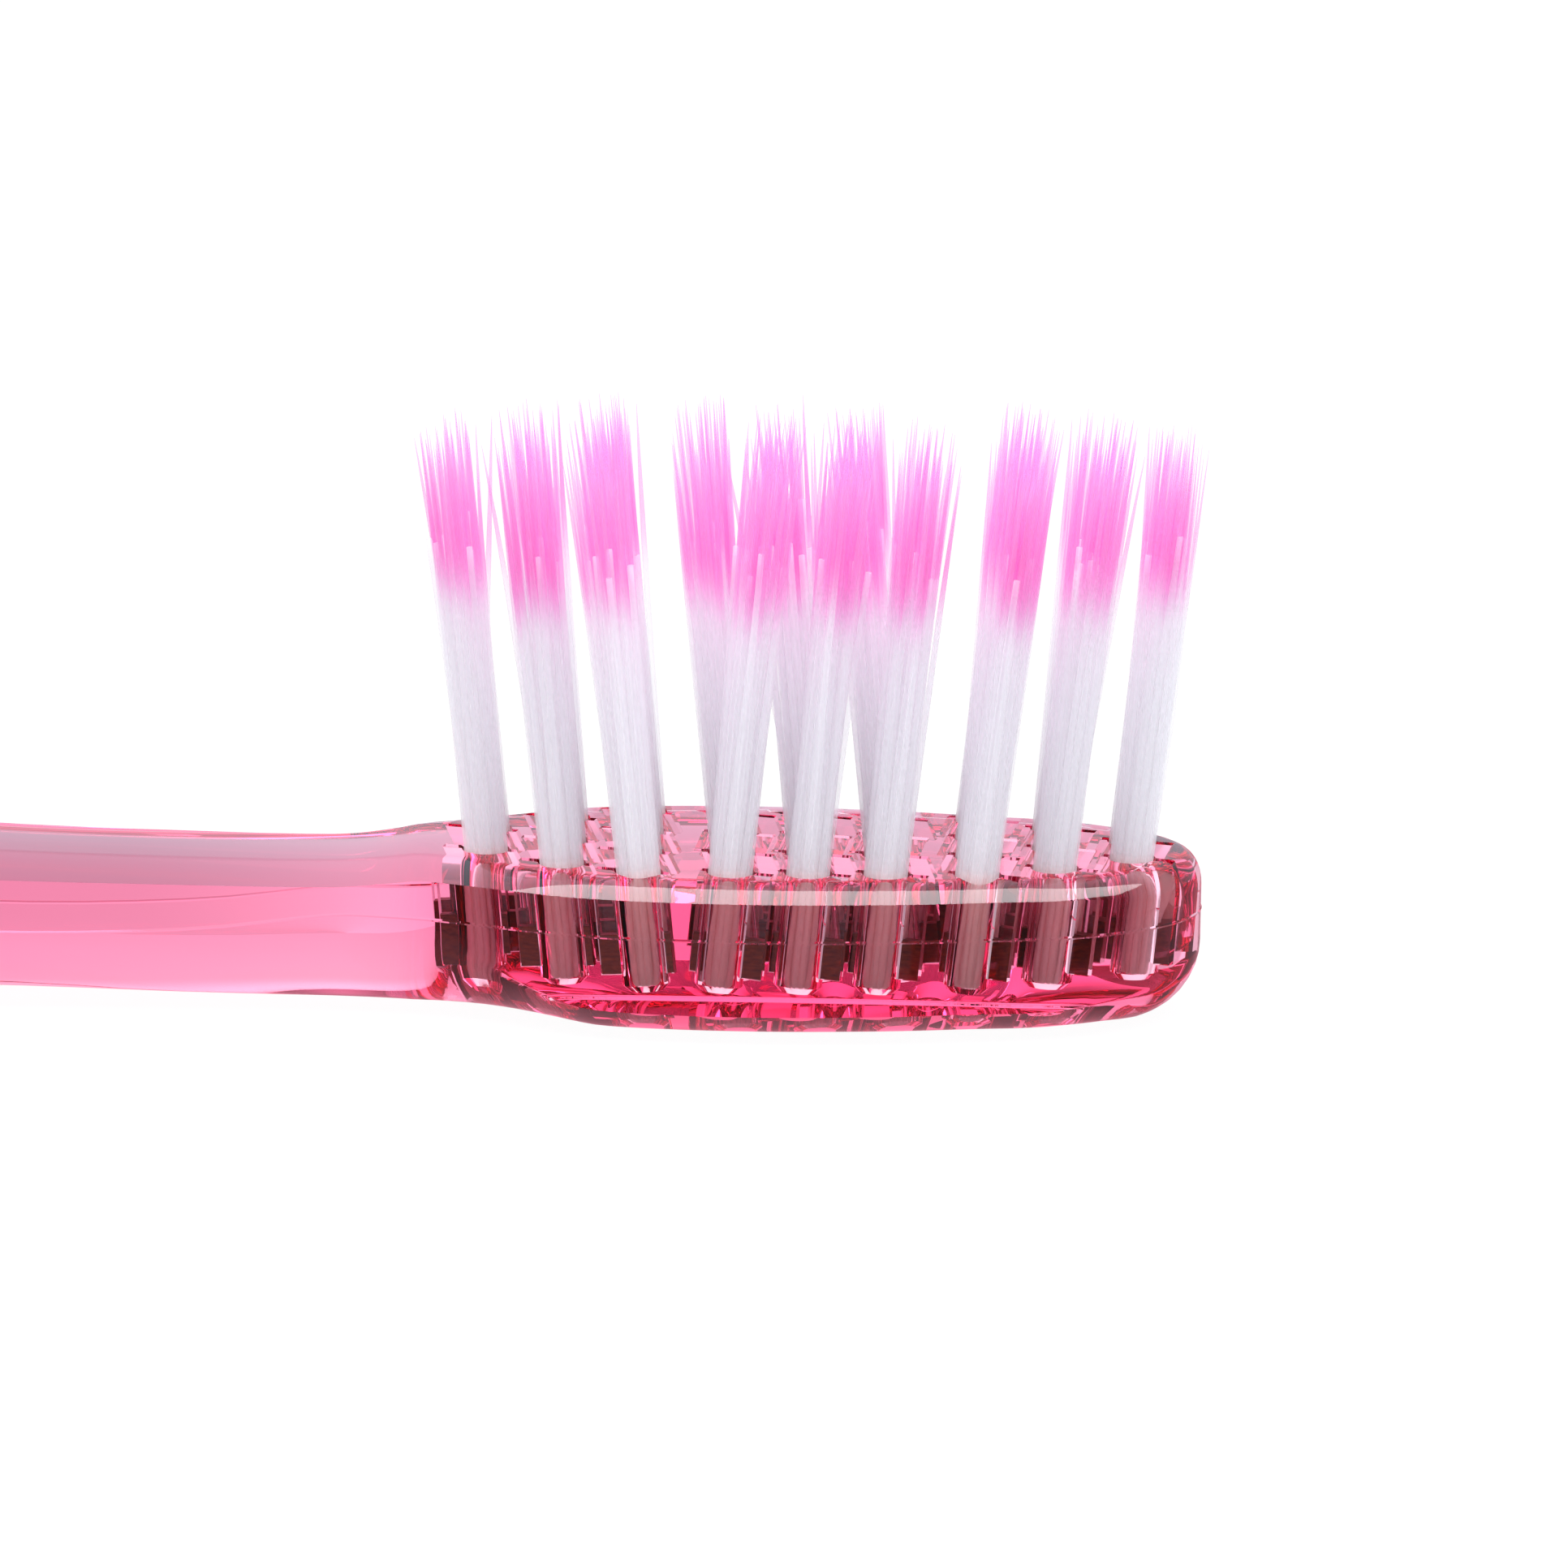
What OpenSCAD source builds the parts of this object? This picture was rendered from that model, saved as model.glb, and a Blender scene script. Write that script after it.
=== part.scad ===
// Manual toothbrush lying on its underside with the bristles up.
// +X runs towards the head tip, +Z along the bristles, and Y across the head.
// The handle is one clear moulding. Each tuft is a bundle of filaments folded in half
// over a small brass blade, and the blade bites into the two sides of the tuft's bore.

/* [Handle] */
// Length of the whole brush, from the head tip to the end of the grip
brush_length = 180; // [150:1:220]
// Width of the grip where it is widest
grip_width = 13; // [10:0.5:16]
// Thickness of the grip where it is thickest
grip_thickness = 8.6; // [7:0.1:11]
// Length of the round end of the grip
grip_end_length = 7; // [5:0.5:12]
// Width of the neck where it is narrowest
neck_width = 5.2; // [4:0.1:6]
// How far the top of the neck lies below the head's face
neck_dip = 0.3; // [0:0.05:0.5]
// Width of the sloping edges along the neck
neck_edge_width = 1.2; // [0.8:0.05:1.6]
// Height of the arch under the neck
neck_lift = 0.3; // [0.1:0.05:0.8]

/* [Head] */
// Length from the last column of tufts to the narrowest place of the neck
shoulder_length = 4.25; // [4:0.05:8]
// Distance from the head tip to the first column of tufts
tip_margin = 2.05; // [2:0.05:3]
// Distance from an outer row of tufts to the side of the head, where it is widest
side_margin = 1.6; // [1.5:0.05:2.5]
// Thickness of the head, from its face to its underside
head_thickness = 4.7; // [4.3:0.1:6]
// Depth of the mould's parting line below the face
parting_depth = 1.65; // [1.2:0.05:2.2]
// Width of the sloping edge round the face
rim_width = 0.74; // [0.4:0.02:0.9]
// Height of the sloping edge round the face and along the neck
rim_height = 0.54; // [0.3:0.02:0.8]
// Width of the sloping edge along the head's underside
belly_width = 1.64; // [1:0.02:2]
// Height of the sloping edge along the head's underside
belly_height = 0.86; // [0.4:0.02:1.2]
// Length of the round tip, seen from above
tip_length = 4.4; // [3.6:0.1:5]
// Length of the rounding under the tip
chin_length = 2.3; // [1.5:0.1:3]
// Height of the rounding under the tip
chin_height = 2.1; // [1.5:0.1:2.4]

/* [Tufts] */
// Distance between two columns of one group
column_pitch = 2.2; // [2.15:0.01:2.3]
// Distance between the last column of a group and the first of the next
group_gap = 2.6; // [2.3:0.05:2.8]
// Distance between two rows at the middle of the head
row_pitch = 2.2; // [2.1:0.01:2.25]
// Lean of the outer groups, away from the middle of the head
outer_lean = 6; // [0:0.5:8]
// Lean of the middle group, one row to the left and the next to the right
middle_lean = 5; // [0:0.5:6]
// Diameter of each bore
bore_diameter = 1.36; // [1.1:0.02:1.4]
// Depth of each bore below the face
bore_depth = 3.35; // [3.1:0.05:3.5]
// Height of the chamfer at the floor of each bore
bore_chamfer = 0.2; // [0.1:0.05:0.3]
// Clearance all round a folded bundle in its bore
bundle_fit = 0.02; // [0.01:0.01:0.05]

/* [Filaments] */
// Height of the long, tapered filaments above the face
long_height = 12.3; // [10:0.1:14]
// Height of the short, blunt filaments above the face
short_height = 9; // [7:0.1:9.8]
// Length of the taper at the tip of a long filament
taper_length = 3.6; // [2:0.1:5]
// Radius of a filament, drawn thick enough to stand for several
filament_radius = 0.1; // [0.06:0.01:0.11]
// Radius of the tip of a long filament
filament_tip_radius = 0.02; // [0.01:0.01:0.05]
// How far a filament reaches down into its bundle
filament_root = 0.4; // [0.2:0.05:0.8]
// How far a bundle stands out of its bore before it opens
bundle_proud = 0.1; // [0.08:0.01:0.3]

/* [Anchors] */
// Length of an anchor blade, which is more than the bore's diameter
anchor_length = 2.05; // [1.9:0.05:2.1]
// Thickness of an anchor blade
anchor_thickness = 0.25; // [0.15:0.01:0.3]
// Height of an anchor blade
anchor_height = 1.15; // [0.9:0.05:1.2]
// Depth of the blade's upper edge below the face
anchor_depth = 1.7; // [1.4:0.05:1.8]
// Turn of the blades away from the head's long axis
anchor_turn = 15; // [0:1:20]
// How far a blade sits off its bore's middle: towards the neck in the first group, else to the tip
anchor_shift = 0.19; // [0:0.01:0.2]
// Clearance all round a blade in its slot
anchor_fit = 0.02; // [0.01:0.01:0.04]

/* [Hidden] */
// How far a cut runs past the surface that it opens
overrun = 0.5;

// Points on a quarter arc of a section, and rings along the parts of the handle
arc_steps = 5;
tip_steps = 10;
head_steps = 22;
body_steps = 34;
end_steps = 9;
// Facets round a bore and a bundle
plug_facets = 48;

// Exponents of the outline's round ends: 2 is an ellipse
tip_power = 1.8;
end_power = 2.2;
// Share of the full width that is left at the very end of a round end
blunt_share = 0.08;

// How fast a sloping edge steepens: 1 is a plain chamfer
rim_power = 1.5;
neck_edge_power = 1.2;
belly_power = 1.3;

// Roundness of a section: the share of its half width and height that the corners take
neck_round_share = 0.96;
grip_top_share = 0.9;
grip_under_share = 0.72;
// Share of the height between parting line and underside that a sloping edge may take
edge_room_share = 0.9;

// Head outline: share of the head's length, then of its half width, the neck's dip and its arch
head_shares = [[0, 0.72, 0, 0], [0.22, 0.84, 0, 0], [0.33, 0.93, 0, 0], [0.425, 0.98, 0, 0],
               [0.514, 1, 0, 0], [0.62, 0.98, 0, 0], [0.712, 0.912, 0, 0], [0.8, 0.77, 0, 0],
               [0.865, 0.645, 0, 0], [0.9, 0.59, 0, 0], [0.94, 0.55, 0.5, 0.1]];
// Where the section turns from flat-topped to round: shares of the head's length
shoulder_shares = [0.7, 0.92];
// Body: share of the length behind the head, then how far width and height have gone from the
// neck's values, at 0, to the grip's, at 1, then the share of the arch's height, then how far
// the parting line has gone from its height in the head, at 0, to the middle of the body, at 1,
// and the share of the neck's dip
body_shares = [[0, 0, 0, 0.2, 0, 1], [0.026, 0.01, 0, 0.42, 0.6, 0.97], [0.061, 0.03, 0.02, 0.87, 1, 0.83],
               [0.13, 0.13, 0.11, 1, 1, 0.4], [0.23, 0.4, 0.3, 0.8, 1, 0], [0.36, 0.82, 0.7, 0.3, 1, 0],
               [0.46, 1, 1, 0, 1, 0], [0.65, 0.97, 1, 0, 1, 0], [0.82, 0.9, 0.9, 0, 1, 0],
               [0.93, 0.85, 0.82, 0, 1, 0], [1, 0.8, 0.76, 0, 1, 0]];

// Tufts in each column, from the neck to the tip, in three groups of three
column_rows = [2, 3, 4, 4, 4, 4, 4, 3, 2];
columns_per_group = 3;
// Distance between the rows of each column, as a share of row_pitch
row_pitch_shares = [1.04, 1.16, 1.03, 1, 0.985, 0.965, 0.94, 1.01, 0.865];

// Filaments in a tuft: how many lie on each ring, and the ring's share of the bundle's radius
ring_counts = [1, 5, 8];
ring_shares = [0, 0.44, 0.8];
// How much wider a tuft is at its tips than at its bore
splay_share = 1.3;
// Sides of a filament
filament_sides = 3;

column_count = len(column_rows);
field_length = (column_count - columns_per_group) * column_pitch
    + (column_count / columns_per_group - 1) * group_gap;
head_length = tip_margin + field_length + shoulder_length;
head_width = (max(column_rows) - 1) * row_pitch + 2 * side_margin;
body_length = brush_length - head_length;
face_z = head_thickness;
parting_z = face_z - parting_depth;
tip_x = brush_length / 2;
bundle_radius = bore_diameter / 2 - bundle_fit;

function column_name(c) = str("c", c + 1);
function tuft_name(c, r) = str("tuft_", column_name(c), "_r", r + 1);
function anchors_name(c) = str("anchors_", column_name(c));

function mix(a, b, t) = a + (b - a) * t;
function smooth(t) = t <= 0 ? 0 : t >= 1 ? 1 : t * t * (3 - 2 * t);

// Smooth curve through the rows of a table: the first entry of a row is the place
function slope(tab, k, i) =
    let (a = max(i - 1, 0), b = min(i + 1, len(tab) - 1)) (tab[b][k] - tab[a][k]) / (tab[b][0] - tab[a][0]);
function hermite(a, b, m, n, t) =
    a * (1 + 2 * t) * (1 - t) * (1 - t) + b * t * t * (3 - 2 * t)
    + m * t * (1 - t) * (1 - t) - n * t * t * (1 - t);
function segment(tab, s, i = 0) = i >= len(tab) - 2 || s <= tab[i + 1][0] ? i : segment(tab, s, i + 1);
function curve(tab, k, s) =
    let (i = segment(tab, s), step = tab[i + 1][0] - tab[i][0], t = (s - tab[i][0]) / step)
    hermite(tab[i][k], tab[i + 1][k], slope(tab, k, i) * step, slope(tab, k, i + 1) * step, t);

// Quarter of a superellipse: 0 at the end, 1 from the given length on
function round_end(s, length, power) =
    s >= length ? 1 : pow(1 - pow(1 - max(s, 0) / length, power), 1 / power);

// Table of the handle's shape: distance from the tip, half width, top, underside, parting height
shape_table = concat(
    [for (h = head_shares)
        [h[0] * head_length, h[1] * head_width / 2, face_z - neck_dip * h[2], neck_lift * h[3], parting_z]],
    [for (b = body_shares) let (
        top = mix(face_z, grip_thickness, b[2]) - neck_dip * b[5], under = neck_lift * b[3]) [
        head_length + b[0] * body_length,
        mix(neck_width, grip_width, b[1]) / 2,
        top,
        under,
        mix(parting_z, (top + under) / 2, b[4])]]);

// One section of the handle at distance s from the tip: half width, top, underside, parting
// height, then the width and height of the upper corners and of the lower corners, their
// powers, and how far the upper and the lower corners have gone from a sloping edge, at 0, to
// round, at 1
function section(s) =
    let (
        end = max(round_end(brush_length - s, grip_end_length, end_power), blunt_share),
        nose = max(round_end(s, tip_length, tip_power), blunt_share),
        half = curve(shape_table, 1, s) * nose * end,
        parting = curve(shape_table, 4, s),
        top_drop = rim_height * pow(1 - min(s / rim_width, 1), rim_power),
        chin = chin_height * (1 - round_end(s, chin_length, 2)),
        level = s < head_length ? min(curve(shape_table, 2, s), face_z) : curve(shape_table, 2, s),
        top = parting + (level - parting) * end - top_drop,
        under = parting - (parting - max(curve(shape_table, 3, s), 0)) * end + chin,
        turn = smooth((s / head_length - shoulder_shares[0]) / (shoulder_shares[1] - shoulder_shares[0])),
        grip = smooth((s - head_length) / (body_length / 2)),
        edge_width = mix(rim_width, neck_edge_width, turn),
        round_width = neck_round_share * half,
        round_height = neck_round_share * (parting - under))
    [half, top, under, parting,
     mix(min(edge_width, neck_round_share * half), grip_top_share * half, grip),
     mix(min(rim_height, neck_round_share * (top - parting)), neck_round_share * (top - parting), grip),
     mix(mix(min(belly_width, round_width), round_width, turn), grip_under_share * half, grip),
     mix(min(belly_height, edge_room_share * (parting - under)), round_height, turn),
     mix(rim_power, neck_edge_power, turn), belly_power, grip, turn];

// Right half of a section from the top to the underside, as points across and up
function right_side(q) = concat(
    [for (i = [0 : arc_steps]) let (a = 90 * i / arc_steps)
        [q[0] - q[4] * (1 - sin(a)), q[1] - q[5] * mix(pow(sin(a), q[8]), 1 - cos(a), q[10])]],
    [[q[0], q[3]]],
    [for (i = [0 : arc_steps]) let (a = 90 - 90 * i / arc_steps)
        [q[0] - q[6] * (1 - sin(a)), q[2] + q[7] * mix(pow(sin(a), q[9]), 1 - cos(a), q[11])]]);
function ring(s) =
    let (side = right_side(section(s)), n = len(side))
    concat([for (p = side) [tip_x - s, -p[0], p[1]]],
           [for (i = [n - 1 : -1 : 0]) [tip_x - s, side[i][0], side[i][1]]]);

// Closed skin of triangles over m rings of n points, with flat caps
function skin(n, m) = concat(
    [[for (i = [0 : n - 1]) i]],
    [for (j = [0 : m - 2]) for (i = [0 : n - 1]) let (k = (i + 1) % n)
        [j * n + i, (j + 1) * n + i, j * n + k]],
    [for (j = [0 : m - 2]) for (i = [0 : n - 1]) let (k = (i + 1) % n)
        [j * n + k, (j + 1) * n + i, (j + 1) * n + k]],
    [[for (i = [n - 1 : -1 : 0]) (m - 1) * n + i]]);

// Places of the rings along the handle, closest together at its round ends
ring_places = concat(
    [for (i = [0 : tip_steps]) tip_length * (1 - cos(90 * i / tip_steps))],
    [for (i = [1 : head_steps]) mix(tip_length, head_length, i / head_steps)],
    [for (i = [1 : body_steps]) mix(head_length, brush_length - grip_end_length, pow(i / body_steps, 1.5))],
    [for (i = [1 : end_steps]) brush_length - grip_end_length * (1 - sin(90 * i / end_steps))]);

// Place of each tuft's mouth on the face, and its lean towards the tip
function column_x(c) =
    let (back = column_count - 1 - c)
    tip_x - tip_margin - back * column_pitch - floor(back / columns_per_group) * (group_gap - column_pitch);
function row_y(c, r) = (r - (column_rows[c] - 1) / 2) * row_pitch * row_pitch_shares[c];
function lean(c, r) =
    let (g = floor(c / columns_per_group))
    g == 1 ? (r % 2 == 0 ? middle_lean : -middle_lean) : (g - 1) * outer_lean;

module at_tuft(c, r) {
    translate([column_x(c), row_y(c, r), face_z]) rotate([0, lean(c, r), 0]) children();
}

// A round plug with a chamfered floor: a bore, or the folded bundle that fills it
module plug(radius, depth, top) {
    rotate_extrude($fn = plug_facets)
        polygon([[0, -depth], [radius - bore_chamfer, -depth], [radius, bore_chamfer - depth],
                 [radius, top], [0, top]]);
}

// The blade of one tuft, grown by its clearance and carried up to a given height
module blade(c, r, fit, top) {
    low = anchor_depth + anchor_height + fit;
    shift = c < columns_per_group ? -anchor_shift : anchor_shift;
    rotate([0, 0, -anchor_turn])
        translate([shift - anchor_length / 2 - fit, -anchor_thickness / 2 - fit, -low])
            cube([anchor_length + 2 * fit, anchor_thickness + 2 * fit, low + top]);
}

module handle() {
    rings = [for (s = ring_places) ring(s)];
    color("hotpink", 0.6)
    difference() {
        polyhedron(points = [for (g = rings) each g], faces = skin(len(rings[0]), len(rings)));
        for (c = [0 : column_count - 1], r = [0 : column_rows[c] - 1])
            at_tuft(c, r) {
                plug(bore_diameter / 2, bore_depth, overrun);
                blade(c, r, anchor_fit, overrun);
            }
    }
}

// One filament: triangles over rings of given height and radius, opening out from the bundle
module filament(place, stages) {
    points = [for (g = stages) for (i = [0 : filament_sides - 1])
        let (a = 360 * i / filament_sides, open = mix(1, splay_share, g[0] / long_height))
        [place[0] * open + g[1] * cos(a), place[1] * open + g[1] * sin(a), g[0]]];
    polyhedron(points = points, faces = skin(filament_sides, len(stages)));
}

// A folded bundle, slotted where its blade passes, with long and short filaments by turns
module tuft(c, r) {
    long_stages = [[-filament_root, filament_radius], [long_height - taper_length, filament_radius],
                   [long_height, filament_tip_radius]];
    short_stages = [[-filament_root, filament_radius], [short_height, filament_radius]];
    color("lavenderblush")
    at_tuft(c, r) {
        difference() {
            plug(bundle_radius, bore_depth - bundle_fit, bundle_proud);
            blade(c, r, anchor_fit, anchor_fit - anchor_depth);
        }
        for (k = [0 : len(ring_counts) - 1], i = [0 : ring_counts[k] - 1]) {
            a = 360 * (i + k / 2) / ring_counts[k];
            place = [cos(a), sin(a)] * bundle_radius * ring_shares[k];
            filament(place, (k + i) % 2 == 0 ? long_stages : short_stages);
        }
    }
}

module anchors(c) {
    color("goldenrod")
    for (r = [0 : column_rows[c] - 1]) at_tuft(c, r) blade(c, r, 0, -anchor_depth);
}

handle();
for (c = [0 : column_count - 1], r = [0 : column_rows[c] - 1])
    tuft(c, r);
for (c = [0 : column_count - 1])
    anchors(c);
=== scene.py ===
import math
import random

import bmesh
import bpy
from mathutils import Matrix, Vector


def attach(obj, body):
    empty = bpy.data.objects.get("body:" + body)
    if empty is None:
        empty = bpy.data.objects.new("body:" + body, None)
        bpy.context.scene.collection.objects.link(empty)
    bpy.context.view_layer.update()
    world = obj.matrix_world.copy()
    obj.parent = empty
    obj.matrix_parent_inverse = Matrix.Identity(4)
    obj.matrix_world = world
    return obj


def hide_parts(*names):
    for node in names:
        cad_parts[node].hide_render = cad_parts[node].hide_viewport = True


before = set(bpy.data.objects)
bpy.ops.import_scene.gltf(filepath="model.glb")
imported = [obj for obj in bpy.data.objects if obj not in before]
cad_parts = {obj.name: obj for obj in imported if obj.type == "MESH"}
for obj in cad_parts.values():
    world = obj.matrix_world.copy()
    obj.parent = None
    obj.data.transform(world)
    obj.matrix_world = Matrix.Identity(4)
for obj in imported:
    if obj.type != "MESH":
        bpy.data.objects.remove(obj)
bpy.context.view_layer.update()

# Manual toothbrush: one clear pink moulding, 30 bundles of filaments, 30 brass anchor blades.
# The bristles point up (+Z) and the head's tip is at +X. Sizes are in millimetres here and
# become metres when a mesh is stored.
mm = 0.001
weldDistance = 0.0005       # mm; points nearer than this become one
print("frame loaded:", len(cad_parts), "nodes")


def hexColour(code):
    # sRGB hex to linear
    parts = [int(code[i:i + 2], 16) / 255 for i in (1, 3, 5)]
    return [p / 12.92 if p <= 0.04045 else ((p + 0.055) / 1.055) ** 2.4 for p in parts] + [1.0]


def addNode(tree, kind, settings=None, values=None, links=None):
    node = tree.nodes.new(kind)
    for name, value in (settings or {}).items():
        setattr(node, name, value)
    for name, value in (values or {}).items():
        node.inputs[name].default_value = value
    for name, source in (links or {}).items():
        tree.links.new(source, node.inputs[name])
    return node


def newMaterial(name):
    material = bpy.data.materials.new(name)
    material.use_nodes = True
    material.node_tree.nodes.clear()
    return material, material.node_tree


def storeMesh(bm, name, material):
    # millimetres to metres, then a smooth-shaded object at the origin
    bmesh.ops.scale(bm, vec=(mm, mm, mm), verts=bm.verts)
    mesh = bpy.data.meshes.new(name)
    bm.to_mesh(mesh)
    bm.free()
    mesh.shade_smooth()
    mesh.materials.append(material)
    piece = bpy.data.objects.new(name, mesh)
    bpy.context.scene.collection.objects.link(piece)
    return piece


def mix(a, b, t):
    return a + (b - a) * t


def smooth(t):
    t = min(max(t, 0.0), 1.0)
    return t * t * (3 - 2 * t)


# Camera: long lens, 14.5 degrees above the floor, measured from the rows of tufts
cameraSettings = {
    "azimuth": 0.41, "elevation": 14.48, "roll": 0.87,
    "distance": 422.0,
    "pixelsPerMm": 43.14,
    "frameSize": 1932,
    "sensor": 36.0,             # mm
    "clip": (0.01, 50.0),       # metres
    "aim": (78.75, 0.0, 4.7), "aimPixel": (997.0, 1039.6),  # where column 5 of the tufts meets the face
}


def makeCamera(c):
    a, e, r = (math.radians(c[k]) for k in ("azimuth", "elevation", "roll"))
    forward = Vector((-math.sin(a) * math.cos(e), math.cos(a) * math.cos(e), -math.sin(e)))
    level = Vector((math.cos(a), math.sin(a), 0))
    upright = level.cross(forward)
    right = math.cos(r) * level + math.sin(r) * upright
    up = math.cos(r) * upright - math.sin(r) * level
    middle = c["frameSize"] / 2
    target = (Vector(c["aim"]) + right * (middle - c["aimPixel"][0]) / c["pixelsPerMm"]
              + up * (c["aimPixel"][1] - middle) / c["pixelsPerMm"])
    place = (target - forward * c["distance"]) * mm
    data = bpy.data.cameras.new("camera")
    data.sensor_width = c["sensor"]
    data.lens = c["sensor"] * c["pixelsPerMm"] * c["distance"] / c["frameSize"]
    data.clip_start, data.clip_end = c["clip"]
    camera = bpy.data.objects.new("camera", data)
    turn = Matrix((right, up, -forward)).transposed()
    camera.matrix_world = Matrix.Translation(place) @ turn.to_4x4()
    bpy.context.scene.collection.objects.link(camera)
    bpy.context.scene.camera = camera


makeCamera(cameraSettings)
print("camera placed")

# Materials

plasticSettings = {
    "ior": 1.57,
    "roughness": 0.0,
    "tint": "#FC77BC",      # what the dye lets through
    "density": 300.0,       # per metre
}


def clearPlastic(s):
    # PETG, injection moulded in a polished mould: glossy, clear, dyed pink through and through,
    # so thin places are pale and thick ones deep
    material, tree = newMaterial("injectionMouldedPinkPetg")
    shader = addNode(tree, "ShaderNodeBsdfPrincipled", values={
        "Base Color": (1, 1, 1, 1), "Transmission Weight": 1.0, "IOR": s["ior"],
        "Roughness": s["roughness"]})
    dye = addNode(tree, "ShaderNodeVolumeAbsorption", values={
        "Color": hexColour(s["tint"]), "Density": s["density"]})
    addNode(tree, "ShaderNodeOutputMaterial", links={
        "Surface": shader.outputs["BSDF"], "Volume": dye.outputs["Volume"]})
    return material


filamentSettings = {
    "white": "#FDFDFE", "dyed": "#FFCDEB", "tip": "#DCA0EE",
    "sunk": "#FFE4E2",      # in the bore, where the light has come through pink plastic
    "whiteGlass": "#FFFFFF", "dyedGlass": "#FFF3FE",
    "dyeLength": 2.2,       # mm over which the dye comes in
    "tipStart": 11.2, "tipEnd": 12.3,
    "mouthStart": -0.5, "mouthEnd": 0.2,        # between these heights a filament comes into the open
    "roughness": 0.38, "ior": 1.53,
    "through": 0.6,                             # light that passes to the far side
    "clearSunk": 0.3, "clearWhite": 0.72, "clearDyed": 0.7,     # share of each wall that is seen through
}


def nylon(s):
    # Extruded nylon filament, white, with dip-dyed tips: silky, and it glows where light is behind it.
    # Heights are in millimetres above the head's face, measured along the bore.
    material, tree = newMaterial("extrudedNylonFilament")
    height = addNode(tree, "ShaderNodeAttribute", {"attribute_name": "strandHeight"})
    start = addNode(tree, "ShaderNodeAttribute", {"attribute_name": "dyeStart"})
    above = addNode(tree, "ShaderNodeMath", {"operation": "SUBTRACT"}, links={
        0: height.outputs["Fac"], 1: start.outputs["Fac"]})
    dye = addNode(tree, "ShaderNodeMapRange", {"interpolation_type": "SMOOTHSTEP"},
                  {"From Min": 0.0, "From Max": s["dyeLength"]}, {"Value": above.outputs[0]})
    mouth = addNode(tree, "ShaderNodeMapRange", values={
        "From Min": s["mouthStart"], "From Max": s["mouthEnd"]}, links={"Value": height.outputs["Fac"]})
    plain = addNode(tree, "ShaderNodeMix", {"data_type": "RGBA"},
                    {6: hexColour(s["sunk"]), 7: hexColour(s["white"])}, {0: mouth.outputs["Result"]})
    dipped = addNode(tree, "ShaderNodeMix", {"data_type": "RGBA"}, {7: hexColour(s["dyed"])},
                     {0: dye.outputs["Result"], 6: plain.outputs[2]})
    end = addNode(tree, "ShaderNodeMapRange", values={
        "From Min": s["tipStart"], "From Max": s["tipEnd"]}, links={"Value": height.outputs["Fac"]})
    colour = addNode(tree, "ShaderNodeMix", {"data_type": "RGBA"}, {7: hexColour(s["tip"])},
                     {0: end.outputs["Result"], 6: dipped.outputs[2]})
    body = addNode(tree, "ShaderNodeBsdfPrincipled", values={
        "Roughness": s["roughness"], "IOR": s["ior"]}, links={"Base Color": colour.outputs[2]})
    glow = addNode(tree, "ShaderNodeBsdfTranslucent", links={"Color": colour.outputs[2]})
    strand = addNode(tree, "ShaderNodeMixShader", values={0: s["through"]}, links={
        1: body.outputs["BSDF"], 2: glow.outputs["BSDF"]})
    glass = addNode(tree, "ShaderNodeMix", {"data_type": "RGBA"},
                    {6: hexColour(s["whiteGlass"]), 7: hexColour(s["dyedGlass"])},
                    {0: dye.outputs["Result"]})
    behind = addNode(tree, "ShaderNodeBsdfTransparent", links={"Color": glass.outputs[2]})
    plainClear = addNode(tree, "ShaderNodeMapRange", values={
        "To Min": s["clearSunk"], "To Max": s["clearWhite"]}, links={"Value": mouth.outputs["Result"]})
    clear = addNode(tree, "ShaderNodeMapRange", values={"To Max": s["clearDyed"]}, links={
        "Value": dye.outputs["Result"], "To Min": plainClear.outputs["Result"]})
    whole = addNode(tree, "ShaderNodeMixShader", links={
        0: clear.outputs["Result"], 1: strand.outputs["Shader"], 2: behind.outputs["BSDF"]})
    addNode(tree, "ShaderNodeOutputMaterial", links={"Surface": whole.outputs["Shader"]})
    return material


brassSettings = {
    "colour": "#94401A", "dark": "#240802",
    "roughness": 0.3,
    "grainSize": 0.08,          # mm
    "grainDetail": 3.0,
    "grainStretch": 0.12,       # the lines run along X
    "bumpStrength": 0.35, "bumpDepth": 0.01,
}


def punchedBrass(s):
    # Rolled brass strip, sheared into blades: fine rolling lines
    material, tree = newMaterial("punchedBrassStrip")
    place = addNode(tree, "ShaderNodeTexCoord")
    stretch = addNode(tree, "ShaderNodeMapping", values={"Scale": (s["grainStretch"], 1.0, 1.0)},
                      links={"Vector": place.outputs["Object"]})
    grain = addNode(tree, "ShaderNodeTexNoise", values={
        "Scale": 1 / (s["grainSize"] * mm), "Detail": s["grainDetail"]}, links={
        "Vector": stretch.outputs["Vector"]})
    colour = addNode(tree, "ShaderNodeMix", {"data_type": "RGBA"},
                     {6: hexColour(s["colour"]), 7: hexColour(s["dark"])}, {0: grain.outputs["Fac"]})
    bump = addNode(tree, "ShaderNodeBump", values={
        "Strength": s["bumpStrength"], "Distance": s["bumpDepth"] * mm}, links={
        "Height": grain.outputs["Fac"]})
    shader = addNode(tree, "ShaderNodeBsdfPrincipled", values={
        "Metallic": 1.0, "Roughness": s["roughness"]}, links={
        "Base Color": colour.outputs[2], "Normal": bump.outputs["Normal"]})
    addNode(tree, "ShaderNodeOutputMaterial", links={"Surface": shader.outputs["BSDF"]})
    return material


plastic = clearPlastic(plasticSettings)
filament = nylon(filamentSettings)
brass = punchedBrass(brassSettings)
print("materials made")

# Handle: head, neck and grip in one, with a bore for each bundle and a slot for each blade

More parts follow.
